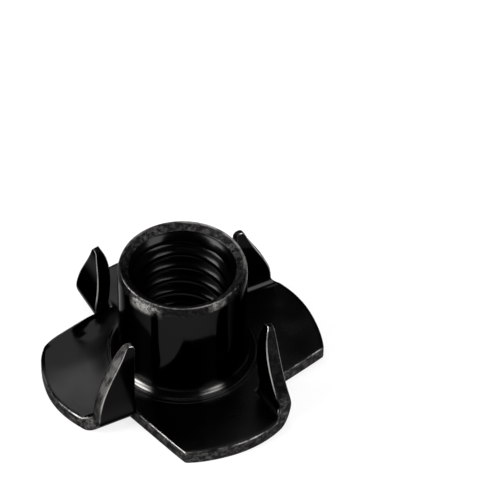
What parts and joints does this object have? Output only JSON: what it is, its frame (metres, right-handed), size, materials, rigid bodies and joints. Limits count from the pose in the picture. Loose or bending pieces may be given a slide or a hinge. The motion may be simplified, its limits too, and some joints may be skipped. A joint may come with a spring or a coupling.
{
  "type": "tee nut",
  "caption": "Sheet-steel tee nut for wood: a threaded barrel on a lobed round flange with upright prongs, black finish.",
  "frame": {"origin": "on the barrel's axis, in the plane of the flange's flat underside", "axes": "+Z along the barrel's axis from the flange to the barrel's open end; the straight cuts beside the lobes run along X and Y"},
  "size_m": [0.0218, 0.0218, 0.0104],
  "materials": {
    "coated_steel": "gloss black coating on stamped steel, worn bright along the edges"
  },
  "bodies": {
    "root": {"tee_nut": "coated_steel"}
  },
  "joints": []
}
